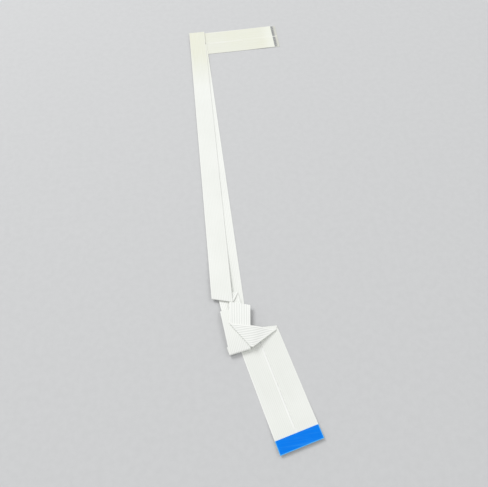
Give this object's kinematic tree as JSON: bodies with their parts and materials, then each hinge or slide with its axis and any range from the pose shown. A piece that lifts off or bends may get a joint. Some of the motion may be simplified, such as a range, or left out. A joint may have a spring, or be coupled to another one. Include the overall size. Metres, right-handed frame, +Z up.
{
  "type": "flat flex cable",
  "caption": "Flat flex cable, slit lengthwise, folded into an L with pleats at one end, bare contacts at both tips and a blue stiffener.",
  "frame": {"origin": "Middle of the folded cable's outline as it lies, on the table's surface.", "axes": "+Z up; +Y along the long run, from the pleats towards the far arm; +X the way the far arm points."},
  "size_m": [0.0778, 0.3298, 0.0039],
  "materials": {
    "cover_film": "satin",
    "bond": "matte",
    "blue_stiffener": "satin",
    "clear_stiffener": "satin",
    "conductor": "satin"
  },
  "bodies": {
    "root": {"face_film": "cover_film", "back_film": "cover_film", "bond_layer": "bond", "near_stiffener": "blue_stiffener", "far_stiffener": "clear_stiffener", "conductor_01": "conductor", "conductor_02": "conductor", "conductor_03": "conductor", "conductor_04": "conductor", "conductor_05": "conductor", "conductor_06": "conductor", "conductor_07": "conductor", "conductor_08": "conductor", "conductor_09": "conductor", "conductor_10": "conductor", "conductor_11": "conductor", "conductor_12": "conductor", "conductor_13": "conductor", "conductor_14": "conductor", "conductor_15": "conductor", "conductor_16": "conductor", "conductor_17": "conductor", "conductor_18": "conductor", "conductor_19": "conductor", "conductor_20": "conductor", "conductor_21": "conductor", "conductor_22": "conductor", "conductor_23": "conductor", "conductor_24": "conductor"}
  },
  "joints": []
}
